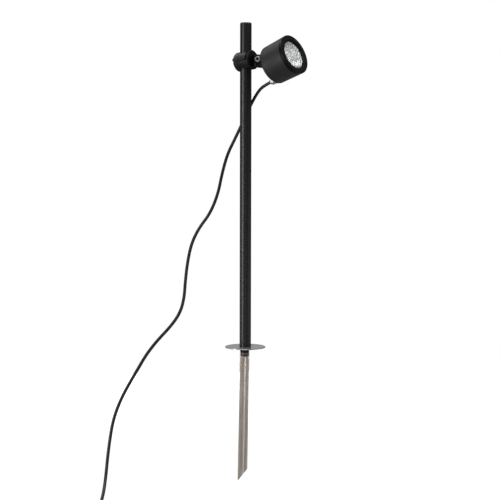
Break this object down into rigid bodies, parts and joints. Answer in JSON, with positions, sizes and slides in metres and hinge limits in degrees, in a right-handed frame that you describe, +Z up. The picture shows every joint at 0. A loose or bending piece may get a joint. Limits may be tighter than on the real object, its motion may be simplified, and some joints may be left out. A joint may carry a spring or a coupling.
{
  "type": "garden spike spotlight",
  "caption": "Adjustable garden spotlight: a round lamp head tilts on a clamp that slides and turns on a slim upright pole, with a ground plate and a pointed soil spike.",
  "frame": {"origin": "centre of the underside of the ground plate, where it rests on the soil", "axes": "+Z up along the pole; the lamp head leans out towards +X and -Y, and the spike goes down along -Z"},
  "size_m": [0.4362, 0.4989, 0.9991],
  "materials": {
    "black_pole": "satin",
    "black_casting": "satin",
    "plate_steel": "polished",
    "spike_steel": "satin",
    "fastener_steel": "satin",
    "pivot_steel": "polished",
    "black_screw": "satin",
    "zinc_plug": "satin",
    "black_nylon": "satin",
    "gland_metal": "satin",
    "seal_rubber": "matte",
    "front_glass": "polished",
    "reflector_silver": "polished",
    "heat_plate_metal": "satin",
    "led_board_white": "satin",
    "led_phosphor": "satin",
    "holder_white": "satin",
    "driver_green": "satin",
    "transformer_black": "satin",
    "capacitor_sleeve": "gloss",
    "terminal_grey": "satin",
    "core_insulation": "satin",
    "lead_insulation": "satin",
    "cord_rubber": "satin",
    "tie_black": "satin",
    "plug_rubber": "matte",
    "pin_metal": "polished"
  },
  "bodies": {
    "stand": {"ground_plate": "plate_steel", "plate_washer": "fastener_steel", "anchor_bolt": "fastener_steel", "ground_spike": "spike_steel", "spike_weld": "spike_steel", "pole": "black_pole", "pole_foot_plug": "zinc_plug", "pole_cap": "black_nylon"},
    "bush": {"pole_bush": "black_nylon"},
    "clamp": {"clamp_body": "black_casting", "clamp_jaw": "black_casting", "jaw_screws": "black_screw", "supply_cord": "cord_rubber", "cord_coil": "cord_rubber", "coil_tie": "tie_black", "plug_tail": "cord_rubber", "plug_boot": "cord_rubber", "plug_body": "plug_rubber", "plug_pins": "pin_metal"},
    "head": {"head_bracket": "black_casting", "lamp_housing": "black_casting", "front_bezel": "black_casting", "pivot_washer": "fastener_steel", "pivot_nut": "fastener_steel", "heat_plate_screws": "fastener_steel", "led_holder_screws": "fastener_steel", "driver_screws": "fastener_steel", "pivot_bolt": "pivot_steel", "bracket_screws": "black_screw", "friction_rings": "black_nylon", "gland_body": "gland_metal", "gland_nut": "gland_metal", "gland_locknut": "gland_metal", "bezel_seal": "seal_rubber", "glass_gasket": "seal_rubber", "gland_seal": "seal_rubber", "front_glass": "front_glass", "reflector": "reflector_silver", "heat_plate": "heat_plate_metal", "led_board": "led_board_white", "led_emitter": "led_phosphor", "led_holder": "holder_white", "driver_board": "driver_green", "driver_transformer": "transformer_black", "driver_capacitors": "capacitor_sleeve", "terminal_block": "terminal_grey", "supply_cores": "core_insulation", "led_leads": "lead_insulation", "cord_tail": "cord_rubber"}
  },
  "joints": [
    {"name": "clamp_slide", "type": "slide", "parent": "stand", "child": "bush", "axis": [0, 0, 1], "range_m": [-0.42, 0.05]},
    {"name": "clamp_swivel", "type": "hinge", "parent": "bush", "child": "clamp", "pos_m": [0, 0, 0.6215], "axis": [0, 0, 1], "range_deg": [-180, 180]},
    {"name": "head_tilt", "type": "hinge", "parent": "clamp", "child": "head", "pos_m": [0.03314, -0.02452, 0.62421], "axis": [-0.5948, -0.8039, 0], "range_deg": [-45, 60], "deforming": ["supply_cord"]}
  ]
}
